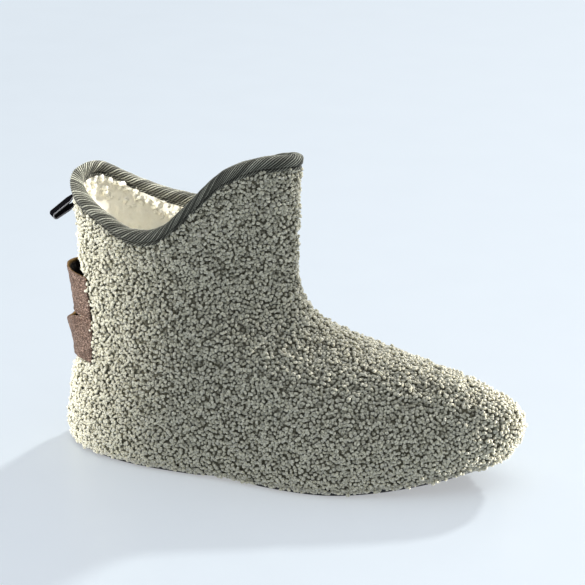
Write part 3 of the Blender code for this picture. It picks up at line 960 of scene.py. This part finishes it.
def make_tab(tab, leather):
    """A leather tab with rounded edges."""
    across = np.linspace(-1, 1, TAB_COLUMNS)
    rings = []
    rims = []
    for share in np.linspace(0, 1, TAB_ROWS):
        pinch = EDGE_PINCH * (share in (0, 1))
        plain = tab_face(tab, across, share, 0)
        small = wobble(plain * SMALL_CRINKLE_SHAPE, SMALL_CRINKLE_SIZE, seed=23)
        crinkle = CRINKLE * (wobble(plain, CRINKLE_SIZE, seed=11) + small / 2)
        outside = tab_face(tab, across, share, LEATHER - pinch + crinkle)
        inside = tab_face(tab, across, share, pinch + crinkle)
        rings.append(np.concatenate([outside, inside[::-1]]))
        rims.append(np.full(2 * len(across), max(share - RIM_START, 0) / (1 - RIM_START)))
    per_ring = 2 * len(across)
    # The inner face carries the leather's painted shade
    inner = np.tile(np.arange(per_ring) >= len(across), len(rings))
    faces = np.concatenate([ring_faces(len(rings), per_ring), end_faces(len(rings), per_ring)])
    name = f"{tab.name}_leather"
    piece(name, np.concatenate(rings), faces, leather, "leather", tab.name, inner=inner, rim=rims)


def make_stitches():
    """Rows of sewn stitches along the tabs' edges, each a short arch of thread that dips into the leather."""
    thread = linen_thread()
    ends = np.linspace(-1, 1, STITCH_POINTS)
    middles = np.linspace(-STITCH_REACH, STITCH_REACH, STITCHES)
    arch = LEATHER + STITCH_RADIUS * (STITCH_STAND - STITCH_DIP * ends**4)
    for tab, share in zip(TABS, STITCH_ROWS):
        paths = []
        for middle in middles[np.abs(middles) > STITCH_START]:
            across = middle + ends * STITCH_REACH / STITCHES * STITCH_SHARE
            paths.append(tab_face(tab, across, share, arch))
        paths = np.array(paths)
        away = paths[:, STITCH_POINTS // 2] * (1, 1, 0) - HEEL_MIDDLE
        taper = STITCH_RADIUS * np.sqrt(np.maximum(1 - ends**4, STITCH_END))
        points, faces = tubes(paths, unit(away), taper, STITCH_SIDES)
        piece(f"{tab.name}_stitches", points, faces, thread, "leather", tab.name)


def loop_line(offset):
    """Side view of the ribbon as (x, z), from its upper end round the tip to its lower end."""
    ups = [up_at(z, 0.0) for z in (LOOP_TOP, LOOP_BOTTOM)]
    ends = [upper_outside(0.0, up) + outward(0.0, up) * TAB_GAP for up in ups]
    upper_end, lower_end = (np.array((p[0], p[2])) for p in ends)
    tip = np.array((LOOP_TIP_X, LOOP_TIP_Z))
    turns = []
    for end, sign in ((upper_end, 1), (lower_end, -1)):
        way = tip - end
        lean = math.asin(LOOP_TIP_RADIUS / np.linalg.norm(way))
        turns.append(math.atan2(way[1], way[0]) - sign * (math.pi / 2 + lean))
    first, last = turns
    if last < first:
        last += 2 * math.pi
    arc = np.linspace(first, last, LOOP_TIP_STEPS + 1)
    out = np.stack([np.cos(arc), np.sin(arc)], -1)
    curve = tip + out * (LOOP_TIP_RADIUS + offset)
    shares = np.arange(LOOP_STRAND_STEPS)[:, None] / LOOP_STRAND_STEPS
    start = upper_end + out[0] * offset
    finish_end = lower_end + out[-1] * offset
    going = start + (curve[0] - start) * shares
    coming = finish_end + (curve[-1] - finish_end) * shares[::-1]
    return np.concatenate([going, curve, coming])


def loop_point(place, side):
    """A point of the ribbon from its side view (x, z) and its distance across. The loop hangs turned to the
    outer side, and the ribbon comes round to that turn over LOOP_TURN_REACH behind the heel."""
    x, z = place
    seam_x = upper_outside(0.0, up_at(np.clip(z, LOOP_BOTTOM, LOOP_TOP), 0.0))[0]
    back = seam_x - x
    turn = LOOP_TURN * np.clip(back / LOOP_TURN_REACH, 0, 1)
    new_x = seam_x - back * math.cos(LOOP_TURN) - side * math.sin(turn)
    return (new_x, side * math.cos(turn) - back * math.sin(LOOP_TURN), z)


def make_loop():
    half = LOOP_THICKNESS / 2
    outer = loop_line(half)
    inner = loop_line(-half)
    widths = np.concatenate([[-1], np.linspace(-LOOP_EDGE, LOOP_EDGE, LOOP_COLUMNS), [1]])
    rings = []
    for over, under in zip(outer, inner):
        ring = [loop_point(over, w * LOOP_WIDTH / 2) for w in widths]
        ring += [loop_point(under, w * LOOP_WIDTH / 2) for w in widths[::-1]]
        rings.append(ring)
    steps = len(rings)
    per_ring = 2 * len(widths)
    faces = np.concatenate([ring_faces(steps, per_ring), end_faces(steps, per_ring)])
    length = np.concatenate([[0], np.cumsum(np.linalg.norm(np.diff(outer, axis=0), axis=1))])
    # Painted highlight: the outer face's edge columns are marked to be pale grey
    edge = np.tile(np.concatenate([np.abs(widths) == 1, np.zeros(len(widths))]), steps)
    along = np.repeat(length, per_ring)
    ribbon = woven_ribbon()
    return piece("pull_loop_ribbon", rings, faces, ribbon, "ribbon", "pull_loop", edge=edge, along=along)


def set_in(ring, away, distance):
    return ring - unit(away * (1, 1, 0)) * distance


def lift_of(x):
    return (TOE_SPRING + SOLE_LIFT) * roll(x)


def floor_line(x):
    reach = np.clip((x - ARCH_BACK) / (ARCH_FRONT - ARCH_BACK), 0, 1)
    return lift_of(x) + SOLE_TAPER * roll(x) + ARCH_RISE * np.sin(math.pi * reach) ** 2


def ladder(ring, columns):
    """Rungs across a closed ring from its outer to its inner half, (rungs, columns + 1, 3)."""
    half = len(ring) // 2
    outer = ring[: half + 1]
    inner = ring[(-np.arange(half + 1)) % len(ring)]
    share = np.linspace(0, 1, columns + 1)[None, :, None]
    return outer[:, None] * (1 - share) + inner[:, None] * share


def plate(name, low, high, sides, cover, slot, solid):
    """A closed plate: a ladder of rungs for its underside, one for its top, and rings of its edge between."""
    rungs, columns = low.shape[:2]
    half = rungs - 1
    count = 2 * half
    points = [low.reshape(-1, 3), high.reshape(-1, 3), *sides]
    bottom = grid_faces(rungs, columns)
    faces = bottom.tolist() + (bottom[:, ::-1] + rungs * columns).tolist()
    border = [j * columns for j in range(rungs)] + [j * columns + columns - 1 for j in range(half - 1, 0, -1)]
    start = 2 * rungs * columns
    rings = [border]
    rings += [list(range(start + k * count, start + (k + 1) * count)) for k in range(len(sides))]
    rings += [[rungs * columns + b for b in border]]
    for below, above in zip(rings, rings[1:]):
        for j in range(count):
            n = (j + 1) % count
            faces.append([below[j], below[n], above[n], above[j]])
    return piece(name, np.concatenate(points), faces, cover, slot, solid)


def make_outsole():
    around = np.arange(SOLE_AROUND) / SOLE_AROUND
    away = outward(around, 0.0)
    edge = set_in(upper_outside(around, 0.0), away, SOLE_INSET)
    low = ladder(set_in(edge, away, SOLE_EDGE), SOLE_ACROSS)
    x, y = low[..., 0], low[..., 1]
    share = np.linspace(0, 1, SOLE_ACROSS + 1)
    rim = np.minimum(share, share[::-1])[None, :] * np.ptp(y, axis=1)[:, None]
    zigzag = np.abs(np.mod(y / TREAD_ZIGZAG, 1) - 0.5) * TREAD_ZIGZAG
    groove = np.abs(np.mod((x + zigzag) / TREAD_PITCH, 1) - 0.5) < TREAD_GROOVE
    low[..., 2] = floor_line(x) + TREAD_DEPTH * (groove & (rim > TREAD_RIM))
    high = ladder(edge, SOLE_ACROSS)
    high[..., 2] = lift_of(high[..., 0]) + SOLE_THICKNESS
    side = edge.copy()
    side[:, 2] = floor_line(edge[:, 0]) + SOLE_EDGE
    return plate("rubber_outsole", low, high, [side], moulded_rubber(), "rubber", "outsole")


def make_insole(fleece):
    around = np.arange(INSOLE_AROUND) / INSOLE_AROUND
    away = outward(around, 0.0)
    seam = set_in(wall_face(around, 0.0, WALL), away, INSOLE_GAP)
    rung = ladder(seam, INSOLE_ACROSS)
    low = rung.copy()
    low[..., 2] = lift_of(rung[..., 0]) + SEAM_HEIGHT
    lump = INSOLE_LUMP_STAND * wobble(rung, INSOLE_LUMP, seed=31)
    share = np.linspace(-1, 1, INSOLE_ACROSS + 1)[None, :]
    high = rung.copy()
    high[..., 2] = low[..., 2] + INSOLE_THICKNESS * (INSOLE_SIDE + INSOLE_CROWN * (1 - share**4)) + lump
    made = plate("fleece_insole", low, high, [], fleece, "fleece", "insole")
    return made


# Stage


def make_floor():
    """Pale blue studio floor, slightly glossy, with a painted glow of its own that lightens its shadows and
    is a little brighter to the toe's side.
    """
    made, tree, shader, places = material("pale studio floor")
    along = node(tree, "SeparateXYZ", {0: places}, "X")
    share = node(tree, "MapRange", {"Value": along, "From Min": -FLOOR_FADE, "From Max": FLOOR_FADE})
    # Painted glow that lightens the floor's shadows, brighter to the toe's side
    glow = node(tree, "Mix", {0: share, 6: linear("#979899"), 7: linear("#b7b8b9")}, 2, data_type="RGBA")
    grain = node(tree, "TexNoise", {"Vector": places, "Scale": per_metre(40), "Detail": 1})
    shade = node(tree, "Mix", {0: grain, 6: linear("#b0bcc6"), 7: linear("#b4c0ca")}, 2, data_type="RGBA")
    feed(shader, {"Base Color": shade, "Emission Color": glow, "Emission Strength": 1.0})
    feed(shader, {"Roughness": 0.35, "Specular IOR Level": 0.3})
    mesh = bpy.data.meshes.new("floor")
    corners = [(FLOOR_REACH * a, FLOOR_REACH * b, 0) for a, b in ((-1, -1), (1, -1), (1, 1), (-1, 1))]
    mesh.from_pydata(corners, [], [(0, 1, 2, 3)])
    mesh.materials.append(made)
    floor = bpy.data.objects.new("floor", mesh)
    bpy.context.scene.collection.objects.link(floor)


def aim(made, place, target):
    made.location = place
    made.rotation_mode = "QUATERNION"
    made.rotation_quaternion = (Vector(target) - Vector(place)).to_track_quat("-Z", "Y")


def compass(azimuth, elevation):
    """A direction in degrees: azimuth from the inner side towards the toe, elevation above the floor."""
    a, e = math.radians(azimuth), math.radians(elevation)
    return Vector((math.sin(a) * math.cos(e), math.cos(a) * math.cos(e), math.sin(e)))


def lamp(name, kind, target, direction, energy, colour, lights=None, **settings):
    """A lamp that shines on a place of the shoe from a direction. lights, if given, is all that it lights."""
    data = bpy.data.lights.new(name, kind)
    data.energy = energy
    data.color = linear(colour)[:3]
    for key, value in settings.items():
        setattr(data, key, value)
    made = bpy.data.objects.new(name, data)
    bpy.context.scene.collection.objects.link(made)
    made.light_linking.receiver_collection = lights
    place = Vector(target) + Vector(SHOE_ORIGIN)
    aim(made, place + direction * LAMP_DISTANCE, place)


def make_lights():
    sun = compass(SUN_AZIMUTH, SUN_ELEVATION)
    lamp("key_sun", "SUN", CAMERA_TARGET, sun, SUN_STRENGTH, "#fffcf5", angle=SUN_ANGLE)
    for row in SPOTS:
        direction = compass(row.azimuth, row.elevation)
        cone = {"spot_size": 2 * math.atan(row.reach / LAMP_DISTANCE), "spot_blend": row.blend}
        cone["shadow_soft_size"] = SPOT_RADIUS
        lamp(row.name, "SPOT", row.target, direction, row.watts, row.colour, SHOE, **cone)


def make_sky():
    """Even studio light from all round, paler and cooler overhead."""
    world = bpy.data.worlds.new("studio")
    bpy.context.scene.world = world
    world.use_nodes = True
    tree = world.node_tree
    way = node(tree, "TexCoord", {}, "Generated")
    height = node(tree, "SeparateXYZ", {0: way}, "Z")
    share = node(tree, "MapRange", {"Value": height, "From Min": 0.0, "From Max": SKY_FADE})
    sky = node(tree, "Mix", {0: share, 6: linear("#818282"), 7: linear("#e2e8f0")}, 2, data_type="RGBA")
    feed(tree.nodes["Background"], {"Color": sky, "Strength": SKY_STRENGTH})


def make_camera():
    data = bpy.data.cameras.new("camera")
    data.sensor_width = SENSOR
    data.lens = SENSOR * FOCAL_PX / IMAGE_PX
    made = bpy.data.objects.new("camera", data)
    bpy.context.scene.collection.objects.link(made)
    target = CAMERA_TARGET + Vector(SHOE_ORIGIN)
    aim(made, target + compass(180 - CAMERA_AZIMUTH, CAMERA_ELEVATION) * CAMERA_DISTANCE, target)
    bpy.context.scene.camera = made


make_camera()
make_backing()
fleece = brushed_fleece()
make_lining(fleece)
make_tufts(fleece)
make_curls()
make_tape()
leather = grained_leather()
for tab in TABS:
    make_tab(tab, leather)
make_stitches()
make_loop()
make_outsole()
make_insole(fleece)
make_floor()
make_lights()
make_sky()
bpy.context.scene.view_settings.view_transform = "Standard"
